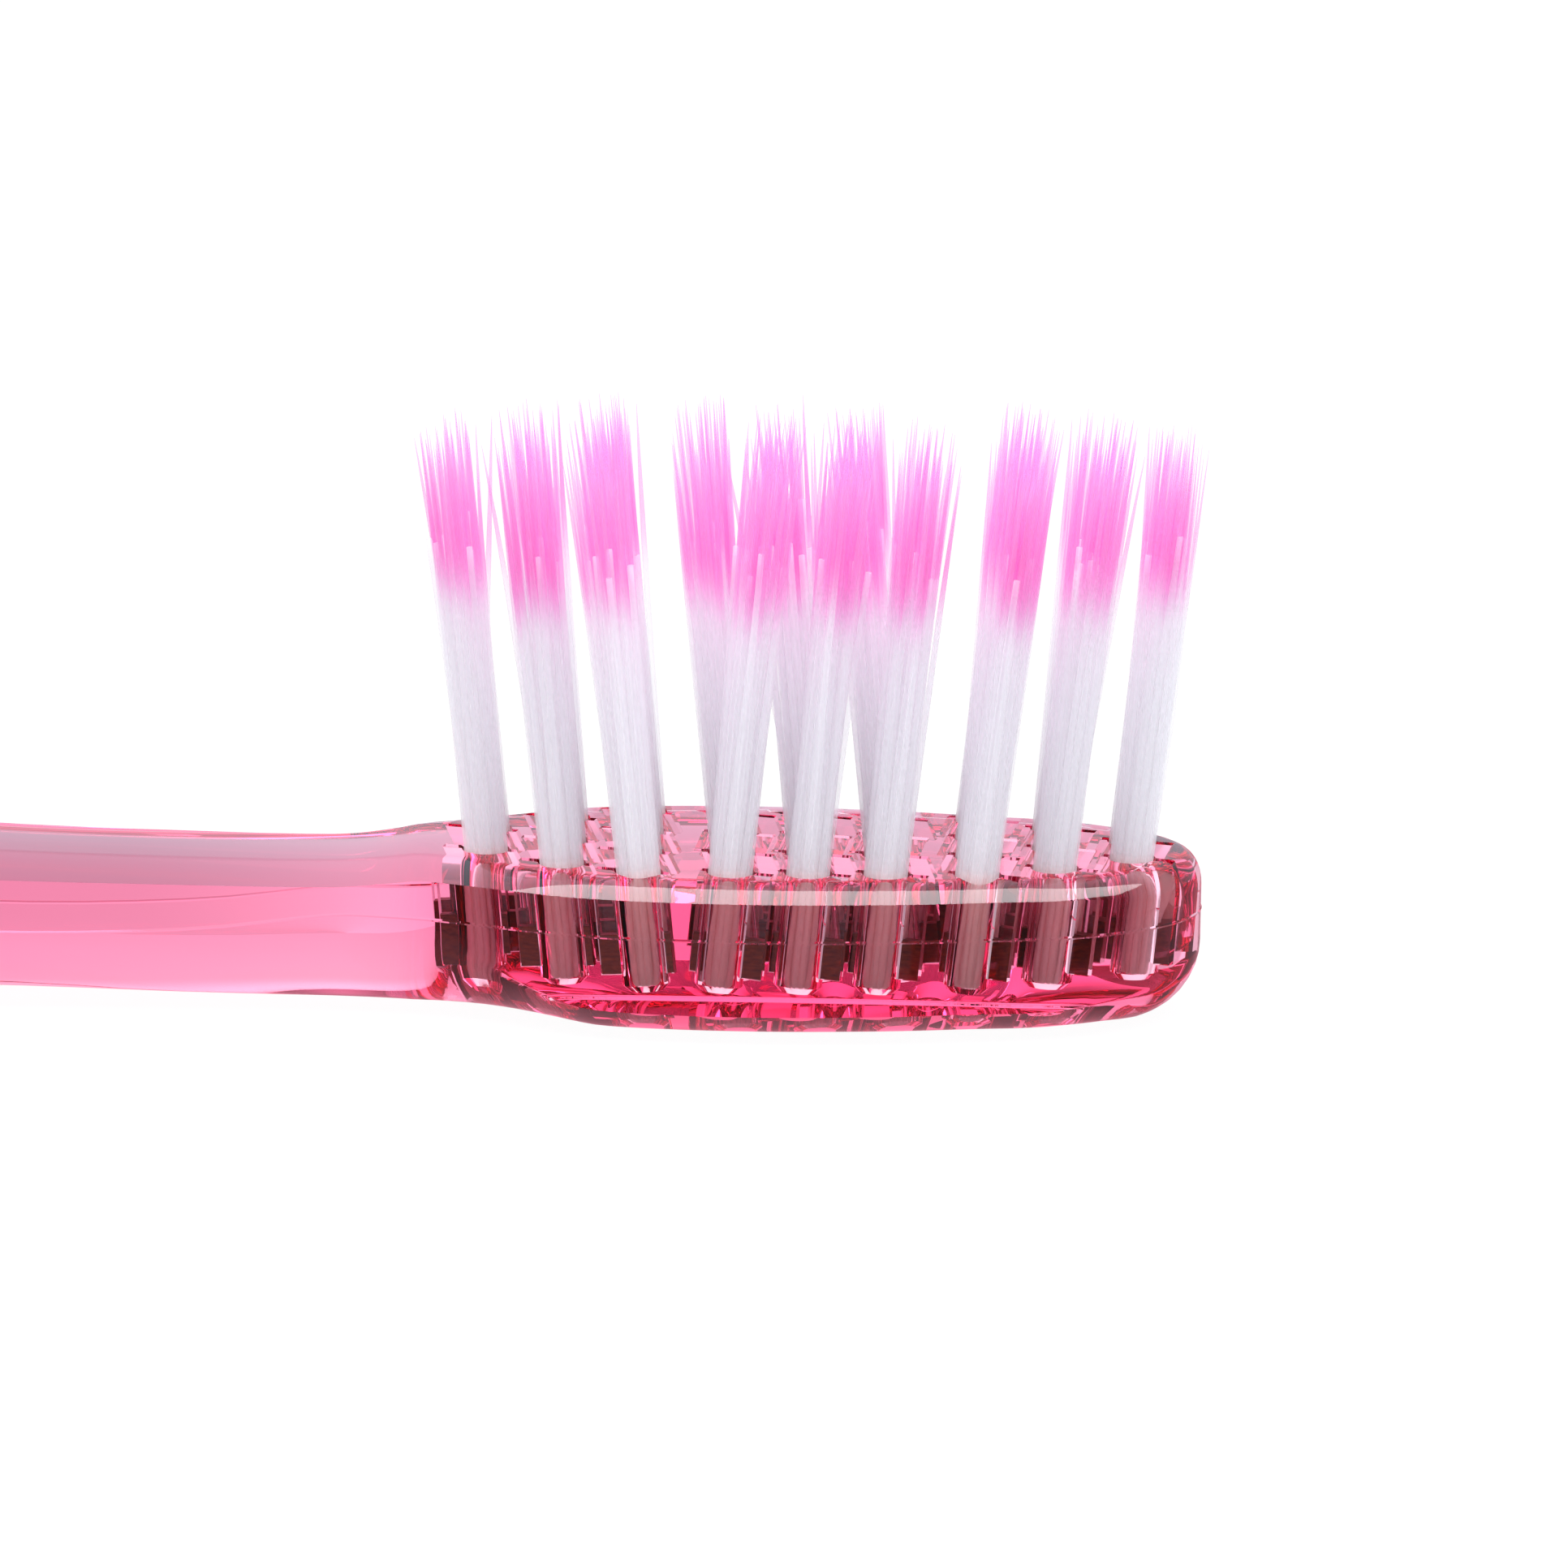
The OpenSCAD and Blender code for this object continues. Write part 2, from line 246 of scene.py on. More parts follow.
handleSettings = {
    "length": 180.0, "headLength": 24.7, "headWidth": 9.8, "headThickness": 4.7,
    "neckWidth": 5.2, "neckLift": 0.3, "neckDip": 0.3,
    "gripWidth": 13.0, "gripThickness": 8.6,
    "tipLength": 5.2, "tipPower": 2.0,         # the two round ends, and how square they are in plan
    "gripEnd": 7.0, "endPower": 2.2,
    "partingDepth": 1.65, "partingProud": 0.025, "partingHalf": 0.05, "partingFade": 4.0,
    "rimWidth": 0.74, "rimHeight": 0.54,       # sloping edge round the face, down to a crease on the wall
    "tipRimWidth": 0.6, "tipRimHeight": 0.95,  # at the very tip it is a plain round edge
    "neckEdgeWidth": 1.2,                      # the same edge along the neck
    "bellyWidth": 1.64, "bellyHeight": 0.86,   # sloping edge along the underside
    "rimPower": 1.5, "neckEdgePower": 1.2, "bellyPower": 1.3,   # how fast a sloping edge steepens
    "chinWidth": 2.2, "chinHeight": 2.1,       # rounding under the tip
    "bluntRate": 1.6, "chinRate": 2.0,         # how soon the tip's own edges take over towards the front
    "neckRound": 0.96, "gripTopRound": 0.9, "gripUnderRound": 0.72,
    "shoulder": (0.7, 0.92),
    "tipSteps": 26, "headSteps": 44, "bodySteps": 52, "endSteps": 14,
    "bodySpread": 1.5,                         # sections lie closer together near the head
    "upperSteps": 8, "lowerSteps": 10,
    "sharpFrom": 22.0, "flatWeight": 60,       # degrees, and how far large faces pull the shading flat
}
# share of the head's length, then of its half width, the neck's dip and its arch
headShares = [(0, 0.72, 0, 0), (0.22, 0.84, 0, 0), (0.33, 0.93, 0, 0), (0.425, 0.98, 0, 0),
              (0.514, 1, 0, 0), (0.62, 0.98, 0, 0), (0.712, 0.912, 0, 0), (0.8, 0.77, 0, 0),
              (0.865, 0.645, 0, 0), (0.9, 0.59, 0, 0), (0.94, 0.55, 0.5, 0.1)]
# share of the length behind the head, then of width, height, arch, parting from neck to grip, and dip
bodyShares = [(0, 0, 0, 0.2, 0, 1), (0.026, 0.01, 0, 0.42, 0.6, 0.97), (0.061, 0.03, 0.02, 0.87, 1, 0.83),
              (0.13, 0.13, 0.11, 1, 1, 0.4), (0.23, 0.4, 0.3, 0.8, 1, 0), (0.36, 0.82, 0.7, 0.3, 1, 0),
              (0.46, 1, 1, 0, 1, 0), (0.65, 0.97, 1, 0, 1, 0), (0.82, 0.9, 0.9, 0, 1, 0),
              (0.93, 0.85, 0.82, 0, 1, 0), (1, 0.8, 0.76, 0, 1, 0)]

tuftSettings = {
    "rows": (2, 3, 4, 4, 4, 4, 4, 3, 2),
    "rowShares": (1.04, 1.16, 1.03, 1, 0.985, 0.965, 0.94, 1.01, 0.865),
    "columnPitch": 2.2, "groupGap": 2.6, "rowPitch": 2.2, "tipMargin": 2.05, "perGroup": 3,
    "outerLean": 6.0, "middleLean": 5.0,
}


def tuftPlaces(t, h):
    # (name, mouth of the bore on the face, lean towards the tip in degrees)
    places = []
    columns = len(t["rows"])
    for c, rows in enumerate(t["rows"]):
        back = columns - 1 - c
        x = (h["length"] / 2 - t["tipMargin"] - back * t["columnPitch"]
             - back // t["perGroup"] * (t["groupGap"] - t["columnPitch"]))
        for r in range(rows):
            y = (r - (rows - 1) / 2) * t["rowPitch"] * t["rowShares"][c]
            group = c // t["perGroup"]
            lean = (t["middleLean"] * (1 if r % 2 == 0 else -1) if group == 1
                    else (group - 1) * t["outerLean"])
            places.append((f"tuft_c{c + 1}_r{r + 1}", Vector((x, y, h["headThickness"])), lean))
    return places


def tableCurve(table, k, s):
    # smooth curve through column k of a table whose first column is the place
    i = 0
    while i < len(table) - 2 and s > table[i + 1][0]:
        i += 1

    def slope(j):
        a, b = max(j - 1, 0), min(j + 1, len(table) - 1)
        return (table[b][k] - table[a][k]) / (table[b][0] - table[a][0])

    step = table[i + 1][0] - table[i][0]
    t = (s - table[i][0]) / step
    return (table[i][k] * (1 + 2 * t) * (1 - t) ** 2 + table[i + 1][k] * t * t * (3 - 2 * t)
            + slope(i) * step * t * (1 - t) ** 2 - slope(i + 1) * step * t * t * (1 - t))


def roundEnd(s, length, power):
    return 1.0 if s >= length else (1 - (1 - max(s, 0) / length) ** power) ** (1 / power)


def shapeTable(h):
    face, parting = h["headThickness"], h["headThickness"] - h["partingDepth"]
    table = [(p * h["headLength"], w * h["headWidth"] / 2, face - h["neckDip"] * dip,
              h["neckLift"] * arch, parting) for p, w, dip, arch in headShares]
    for p, w, rise, arch, line, dip in bodyShares:
        top = mix(face, h["gripThickness"], rise) - h["neckDip"] * dip
        under = h["neckLift"] * arch
        table.append((h["headLength"] + p * (h["length"] - h["headLength"]),
                      mix(h["neckWidth"], h["gripWidth"], w) / 2, top, under,
                      mix(parting, (top + under) / 2, line)))
    return table


def stations(h):
    # distances from the tip: close together at both round ends
    tip = [h["tipLength"] * (1 - math.cos(math.pi / 2 * i / h["tipSteps"])) for i in range(h["tipSteps"])]
    head = [mix(h["tipLength"], h["headLength"], i / h["headSteps"]) for i in range(h["headSteps"])]
    body = [mix(h["headLength"], h["length"] - h["gripEnd"], (i / h["bodySteps"]) ** h["bodySpread"])
            for i in range(h["bodySteps"])]
    end = [h["length"] - h["gripEnd"] * (1 - math.sin(math.pi / 2 * i / h["endSteps"]))
           for i in range(h["endSteps"] + 1)]
    return tip + head + body + end


def handleLayers(h):
    # For every station the points of half a section, from the middle of the face round to the underside
    table = shapeTable(h)
    places = stations(h)
    outline = [(h["length"] / 2 - s, tableCurve(table, 1, s) * roundEnd(s, h["tipLength"], h["tipPower"])
                * roundEnd(h["length"] - s, h["gripEnd"], h["endPower"])) for s in places]
    sections = []
    for i, s in enumerate(places):
        x, half = outline[i]
        ahead = outline[i - 1] if i else (outline[1][0], -outline[1][1])
        behind = outline[min(i + 1, len(outline) - 1)]
        along = Vector((ahead[0] - behind[0], ahead[1] - behind[1])).normalized()
        inward = Vector((along.y, -along.x))
        if inward.y > 0:
            inward = -inward
        turn = smooth((s / h["headLength"] - h["shoulder"][0]) / (h["shoulder"][1] - h["shoulder"][0]))
        inward = Vector((mix(inward.x, 0, turn), mix(inward.y, -1, turn))).normalized()
        if i == 0:
            inward = Vector((-1, 0))
        end = roundEnd(h["length"] - s, h["gripEnd"], h["endPower"])
        parting = tableCurve(table, 4, s)
        level = tableCurve(table, 2, s)
        top = parting + ((min(level, h["headThickness"]) if s < h["headLength"] else level) - parting) * end
        under = parting - (parting - max(tableCurve(table, 3, s), 0)) * end
        grip = smooth((s - h["headLength"]) / ((h["length"] - h["headLength"]) / 2))
        front = inward.x ** 2 * (1 - turn)
        upW = mix(mix(h["rimWidth"], h["neckEdgeWidth"], turn), h["gripTopRound"] * half, grip)
        upH = mix(h["rimHeight"], h["neckRound"] * (top - parting), grip)
        power = mix(h["rimPower"], h["neckEdgePower"], turn)
        lowW = mix(mix(h["bellyWidth"], h["chinWidth"], front),
                   mix(h["neckRound"], h["gripUnderRound"], grip) * half, turn)
        lowH = mix(mix(h["bellyHeight"], h["chinHeight"], front), h["neckRound"] * (parting - under), turn)
        fade = min(end * h["partingFade"], 1)
        ridge, back = h["partingHalf"] * fade, h["partingProud"] * fade
        points = []
        blunt = smooth(front * h["bluntRate"])
        for k in range(h["upperSteps"] + 1):
            a = math.pi / 2 * k / h["upperSteps"]
            across, arc = 1 - math.sin(a), 1 - math.cos(a)
            points.append((mix(upW, h["tipRimWidth"], blunt) * across,
                           top - mix(upH * mix((1 - across) ** power, arc, grip),
                                     h["tipRimHeight"] * arc, blunt)))
        points += [(0, parting + ridge), (-back, parting), (0, parting - ridge)]
        for k in range(h["lowerSteps"] + 1):
            a = math.pi / 2 * (1 - k / h["lowerSteps"])
            bend = mix(math.sin(a) ** h["bellyPower"], 1 - math.cos(a),
                       max(turn, smooth(front * h["chinRate"])))
            points.append((lowW * (1 - math.sin(a)), under + lowH * bend))
        # the walls stand behind the parting line's ridge
        sections.append([Vector((x + inward.x * (d + back), half + inward.y * (d + back), z))
                         for d, z in points])
    return sections


def handleBody(h):
    # One loop in plan view, extruded down layer by layer, with both faces bridged across
    sections = handleLayers(h)
    count = len(sections)
    loop = 2 * count - 2
    bm = bmesh.new()
    mark = bm.verts.layers.int.new("station")
    ring = bmesh.ops.create_circle(bm, segments=loop, radius=1.0)["verts"]
    for k, v in enumerate(ring):
        v[mark] = k

    def settle(verts, layer):
        for v in verts:
            k = v[mark]
            p = sections[k if k < count else loop - k][layer]
            v.co = (p.x, -p.y if k < count else p.y, p.z)

    def span(edges, low, high):
        return [e for e in edges if all(low <= v[mark] <= high for v in e.verts)]

    def closeFace(edges):
        bmesh.ops.bridge_loops(bm, edges=span(edges, 1, count - 2) + span(edges, count, loop - 1))
        for k in (0, count - 1):
            around = [e for e in edges if any(v[mark] == k for v in e.verts)]
            bmesh.ops.contextual_create(bm, geom=around)

    edges = list(bm.edges)
    first = list(edges)
    settle(ring, 0)
    for layer in range(1, len(sections[0])):
        made = bmesh.ops.extrude_edge_only(bm, edges=edges)["geom"]
        settle([g for g in made if isinstance(g, bmesh.types.BMVert)], layer)
        edges = [g for g in made if isinstance(g, bmesh.types.BMEdge) and len(g.link_faces) == 1]
    closeFace(first)
    closeFace(edges)
    bmesh.ops.remove_doubles(bm, verts=bm.verts, dist=weldDistance)
    bmesh.ops.recalc_face_normals(bm, faces=bm.faces)
    return bm


boreSettings = {
    "diameter": 1.36, "depth": 3.35, "chamfer": 0.2, "facets": 40, "overrun": 0.5,
    "slotLength": 2.09, "slotWidth": 0.29, "slotDepth": 2.87, "slotTurn": -15.0, "slotShift": 0.19,
    "mouthLength": 2.1, "mouthWidth": 0.8, "mouthDepth": 0.12, "mouthLow": 0.42, "mouthHigh": 0.58,
}


def toMouth(place, lean):
    return Matrix.Translation(place) @ Matrix.Rotation(math.radians(lean), 4, "Y")


def boreCutter(b, places):
    bm = bmesh.new()
    for _, place, lean in places:
        r = b["diameter"] / 2
        profile = [(0, -b["depth"]), (r - b["chamfer"], -b["depth"]), (r, b["chamfer"] - b["depth"]),
                   (r, b["overrun"]), (0, b["overrun"])]
        verts = [bm.verts.new((x, 0, z)) for x, z in profile]
        edges = [bm.edges.new(pair) for pair in zip(verts, verts[1:])]
        bmesh.ops.spin(bm, geom=verts + edges, cent=(0, 0, 0), axis=(0, 0, 1), dvec=(0, 0, 0),
                       angle=2 * math.pi, steps=b["facets"], use_merge=True)
        whole = {v for e in edges for v in e.verts}
        whole |= {v for f in bm.faces if not f.tag for v in f.verts}
        bmesh.ops.transform(bm, matrix=toMouth(place, lean), verts=list(whole))
        for f in bm.faces:
            f.tag = True
    bmesh.ops.remove_doubles(bm, verts=bm.verts, dist=weldDistance)
    bmesh.ops.recalc_face_normals(bm, faces=bm.faces)
    return bm


def slotCutter(b, places):
    # a thin slot down to the blade, and a flared mouth where the blade was pushed in
    slots, mouths = bmesh.new(), bmesh.new()
    firstGroup = [f"tuft_c{c + 1}_" for c in range(tuftSettings["perGroup"])]
    for name, place, lean in places:
        home = toMouth(place, lean) @ Matrix.Rotation(math.radians(b["slotTurn"]), 4, "Z")
        size = Matrix.Diagonal((b["slotLength"], b["slotWidth"], b["slotDepth"] + b["overrun"], 1))
        shift = -b["slotShift"] if name[:8] in firstGroup else b["slotShift"]
        bmesh.ops.create_cube(slots, size=1.0, matrix=home @ Matrix.Translation(
            (shift, 0, (b["overrun"] - b["slotDepth"]) / 2)) @ size)
        flare = b["mouthWidth"] / b["mouthLength"]
        bmesh.ops.create_cone(mouths, cap_ends=True, segments=4, radius1=b["mouthLow"] * b["mouthLength"],
                              radius2=b["mouthHigh"] * b["mouthLength"], depth=2 * b["mouthDepth"],
                              matrix=home @ Matrix.Diagonal((1, flare, 1, 1)))
    return slots, mouths


def bakeModifiers(piece):
    bpy.context.view_layer.update()
    mesh = bpy.data.meshes.new_from_object(piece.evaluated_get(bpy.context.evaluated_depsgraph_get()))
    piece.modifiers.clear()
    piece.data = mesh


def cutWith(piece, cutters):
    for bm in cutters:
        cutter = storeMesh(bm, "cutter", plastic)
        cut = piece.modifiers.new("cut", "BOOLEAN")
        cut.operation, cut.solver, cut.object = "DIFFERENCE", "EXACT", cutter
        bakeModifiers(piece)
        bpy.data.objects.remove(cutter)


places = tuftPlaces(tuftSettings, handleSettings)
handle = storeMesh(handleBody(handleSettings), "handleMoulding", plastic)
cutWith(handle, [boreCutter(boreSettings, places), *slotCutter(boreSettings, places)])
handle.data.shade_smooth()
handle.data.set_sharp_from_angle(angle=math.radians(handleSettings["sharpFrom"]))
weigh = handle.modifiers.new("weigh", "WEIGHTED_NORMAL")
weigh.mode, weigh.weight, weigh.keep_sharp = "FACE_AREA", handleSettings["flatWeight"], True
bakeModifiers(handle)
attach(handle, "root")
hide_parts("handle")
print("handle moulded:", len(handle.data.polygons), "faces")

# Tufts: each filament is folded over the blade, one leg long, tapered and dyed, the other short and blunt

strandSettings = {
    "spacing": 0.178, "radius": 0.094, "sides": 5,
    "packRadius": 0.588,        # of the filaments' middles at the mouth
    "bladeHalf": 0.215,         # nearest a filament's middle comes to the blade's middle plane
    "foldTop": -2.7, "foldTurn": -3.12, "foldFloor": -3.245, "foldSpread": 0.04,
    "foldAlong": 0.94, "foldAcross": 0.88,      # shares by which the legs draw in at the turn
    "heldTop": -1.6, "freeFrom": -1.1,          # the blade's top, and where the legs lie evenly again
    "innerRow": 0.09, "leastReach": 0.1,
    "jitterAlong": 0.008, "jitterAcross": 0.004, "turnMost": 4.0,
    "longHeight": 12.28, "ragged": 0.5, "raggedMost": 1.2,          # how much shorter long ones may be
    "shortHeight": 9.1, "shortSpread": 0.5,
    "shortInside": 0.12, "shortOutside": 0.6,       # share of blunt legs in the middle and at the sides
    "splay": 0.22, "flare": 0.16, "stray": 0.013, "bendShare": 0.5,
    "loose": 0.035, "looseStray": 0.045,            # share of filaments that stand off, and how far
    "dyeStart": 6.9, "dyeSpread": 0.35, "undyed": 99.0,
    "drawnFrom": 89.2, "drawnShare": 0.62,          # tips past this X are drawn in, to the brush's length
    "seed": 11,
}
longStages = (0.0, 4.0, 8.2, 10.0, 11.3, 12.28)     # heights of the rings of a long leg
longRadii = (1.0, 1.0, 0.92, 0.66, 0.36, 0.05)


def strandTube(s, rings):
    # a straight tube of unit radius, closed at both ends, whose rings are numbered
    bm = bmesh.new()
    mark = bm.verts.layers.int.new("ring")
    bmesh.ops.create_circle(bm, cap_ends=True, segments=s["sides"], radius=1.0)
    for f in list(bm.faces):
        bmesh.ops.reverse_faces(bm, faces=[f])
    edges = list(bm.edges)
    for k in range(1, rings):
        made = bmesh.ops.extrude_edge_only(bm, edges=edges)["geom"]
        verts = [g for g in made if isinstance(g, bmesh.types.BMVert)]
        edges = [g for g in made if isinstance(g, bmesh.types.BMEdge) and len(g.link_faces) == 1]
        bmesh.ops.translate(bm, vec=(0, 0, 1), verts=verts)
        for v in verts:
            v[mark] = k
    bmesh.ops.contextual_create(bm, geom=edges)
    bmesh.ops.recalc_face_normals(bm, faces=bm.faces)
    mesh = bpy.data.meshes.new("strandTube")
    bm.to_mesh(mesh)
    bm.free()
    return mesh


def packPlaces(s):
    # half of a close packing of the bore: a place on one side of the blade for each folded filament
    found = []
    rise = s["spacing"] * math.sqrt(3) / 2
    most = math.ceil(s["packRadius"] / s["spacing"]) + 1
    for j in range(most):
        for i in range(-most, most + 1):
            x, y = (i + (j % 2) / 2) * s["spacing"], (j + 0.5) * rise
            if math.hypot(x, y) <= s["packRadius"]:
                found.append((x, y))
    return found


def strandPath(s, rng, x, y, long):
    # rings of one leg from the fold upwards: place, radius, height above the face
    room = (s["packRadius"] - s["bladeHalf"]) / (s["packRadius"] - s["innerRow"])
    pressed = s["bladeHalf"] + max(y - s["innerRow"], 0) * room
    reach = math.sqrt(max(s["packRadius"] ** 2 - pressed ** 2, s["leastReach"] ** 2))
    held = max(-reach, min(reach, x))
    wide = s["looseStray"] if rng.random() < s["loose"] else s["stray"]
    drift = Vector((rng.gauss(0, wide), rng.gauss(0, s["stray"])))
    bend = Vector((rng.gauss(0, s["bendShare"]), rng.gauss(0, s["bendShare"]))) * s["stray"]
    path = [(Vector((held * s["foldAlong"], pressed * s["foldAcross"], s["foldTurn"])), 1.0),
            (Vector((held, pressed, s["foldTop"])), 1.0), (Vector((held, pressed, s["heldTop"])), 1.0),
            (Vector((x, y, s["freeFrom"])), 1.0)]
    if long:
        drop = min(abs(rng.gauss(0, s["ragged"])), s["raggedMost"])
        scale = 1 - drop / s["longHeight"]
        stages = [(h * scale, r) for h, r in zip(longStages, longRadii)]
    else:
        top = s["shortHeight"] + rng.uniform(-1, 1) * s["shortSpread"]
        stages = [(top * h / longStages[-1], 1.0) for h in longStages]
    for h, r in stages:
        t = h / s["longHeight"]
        grow = 1 + s["splay"] * t + s["flare"] * t ** 3
        out = Vector((x, y)) * grow + drift * h + bend * h * t
        path.append((Vector((out.x, out.y, h)), r))
    return path


def makeTuft(s, tube, name, place, lean, rng):
    # the tube is read once for its ring layer, and the mesh starts empty
    bm = bmesh.new()
    bm.from_mesh(tube)
    mark = bm.verts.layers.int["ring"]
    bmesh.ops.delete(bm, geom=list(bm.verts), context="VERTS")
    height = bm.verts.layers.float.new("strandHeight")
    dyed = bm.verts.layers.float.new("dyeStart")
    home = toMouth(place, lean)
    turn = rng.uniform(-s["turnMost"], s["turnMost"])
    for x, y in packPlaces(s):
        x, y = x + rng.uniform(-1, 1) * s["jitterAlong"], y + rng.uniform(-1, 1) * s["jitterAcross"]
        side = rng.choice((-1, 1))
        outside = math.hypot(x, y) / s["packRadius"]
        blunt = rng.random() < mix(s["shortInside"], s["shortOutside"], outside ** 3)
        longLeg = strandPath(s, rng, x, y, True)
        shortLeg = strandPath(s, rng, x, y, not blunt)
        low = s["foldFloor"] + rng.uniform(0, s["foldSpread"])
        longLeg = [(Vector((p.x, p.y * side, p.z)), r) for p, r in longLeg]
        shortLeg = [(Vector((p.x, -p.y * side, p.z)), r) for p, r in shortLeg]
        floorPoint = [(Vector((longLeg[0][0].x, 0, low)), 1.0)]
        path = shortLeg[::-1] + floorPoint + longLeg
        start = s["dyeStart"] + rng.gauss(0, s["dyeSpread"])
        before = len(bm.verts)
        bm.from_mesh(tube)
        bm.verts.ensure_lookup_table()
        for v in bm.verts[before:]:
            k = v[mark]
            p, r = path[k]
            ahead = path[min(k + 1, len(path) - 1)][0] - path[max(k - 1, 0)][0]
            ahead.normalize()
            across = Vector((1, 0, 0))
            other = ahead.cross(across).normalized()
            v[height] = p.z
            v[dyed] = s["undyed"] if blunt and k <= len(shortLeg) else start
            v.co = p + (across * v.co.x + other * v.co.y) * r * s["radius"]
    bmesh.ops.rotate(bm, cent=(0, 0, 0), matrix=Matrix.Rotation(math.radians(turn), 3, "Z"),
                     verts=bm.verts)
    bmesh.ops.transform(bm, matrix=home, verts=bm.verts)
    for v in bm.verts:
        v.co.x = min(v.co.x, s["drawnFrom"] + (v.co.x - s["drawnFrom"]) * s["drawnShare"])
    bmesh.ops.recalc_face_normals(bm, faces=bm.faces)
    return storeMesh(bm, name, filament)


rng = random.Random(strandSettings["seed"])
# each leg has four rings below the face, and the two meet in one more at the fold
ringCount = 2 * (4 + len(longStages)) + 1
tube = strandTube(strandSettings, ringCount)
for name, place, lean in places:
    bundle = makeTuft(strandSettings, tube, name.replace("tuft", "bristles"), place, lean, rng)
    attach(bundle, "root")
    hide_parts(name)
bpy.data.meshes.remove(tube)
print("tufts folded in:", len(places), "with", len(packPlaces(strandSettings)), "filaments each")

# Anchors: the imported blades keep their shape
for name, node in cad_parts.items():
    if name.startswith("anchors"):
        for slot in node.material_slots:
            slot.material = brass
print("anchors finished")

# Floor and light. Places in the floor's own settings are in metres, as its shader reads them.

floorSettings = {
    "reach": 6000.0, "below": 0.02,             # mm; the brush stands just clear of it
    "colour": "#3A3A3A", "glow": 0.96,
    "nearMirrored": 0.7, "near": 0.93,          # level beside the brush: in reflections, through plastic
    "paintedPinkLight": "#FFA8BC",                    # in reflections, painted pink light on the floor beside the brush, standing in for light thrown through the plastic
    "pool": 1.5, "poolStart": 0.058, "poolEnd": 0.07,       # the light is brightest round the head
    "mirrored": 0.03, "refracted": 0.3,         # the same levels before the brush: painted shade, dim in reflections and through the plastic
    "edgeMirrored": (-0.011, -0.004), "edge": (-0.0058, -0.0046),       # Y between the two levels
    "diffuse": 0.5,                             # level as it falls on matt surfaces
    "under": 0.6, "underMiddle": 0.003,         # the brush keeps light off here
    "underHalf": 0.0022, "underFade": 0.0015,
}
lightSettings = {
    "colour": "#EAEDFF", "throughColour": "#FFFAFC",
    "back": 1.0, "backThrough": 1.25,           # how bright the studio is behind: mirrored, refracted
    "mirrored": 0.12, "refracted": 0.3,         # the same before the brush
    "sides": (-0.6, 0.6),                       # Y of the directions between the two
    "above": 1.2, "ceiling": (0.5, 0.9),        # added towards the ceiling, between these Z of a direction
    "diffuse": 1.3,                             # on all sides, as it falls on matt surfaces
    "softboxes": [
        {"name": "overheadSoftbox", "place": (0.0, -0.2, 0.77), "aim": (0.02, 0, 0.01),
         "size": (2.2, 0.4), "power": 16.5},
    ],
}


def rayLevel(tree, rays, mirrored, refracted, diffuse, camera):
    # the level that a ray sees: in a reflection, through the plastic, after a matt surface, from the camera
    level = mirrored
    for ray, value in (("Is Transmission Ray", refracted), ("Diffuse Depth", diffuse),
                       ("Is Camera Ray", camera)):
        fixed = isinstance(value, float)
        level = addNode(tree, "ShaderNodeMix", {"data_type": "FLOAT"}, {3: value} if fixed else {},
                        {0: rays.outputs[ray], 2: level, **({} if fixed else {3: value})}).outputs[0]
    return level


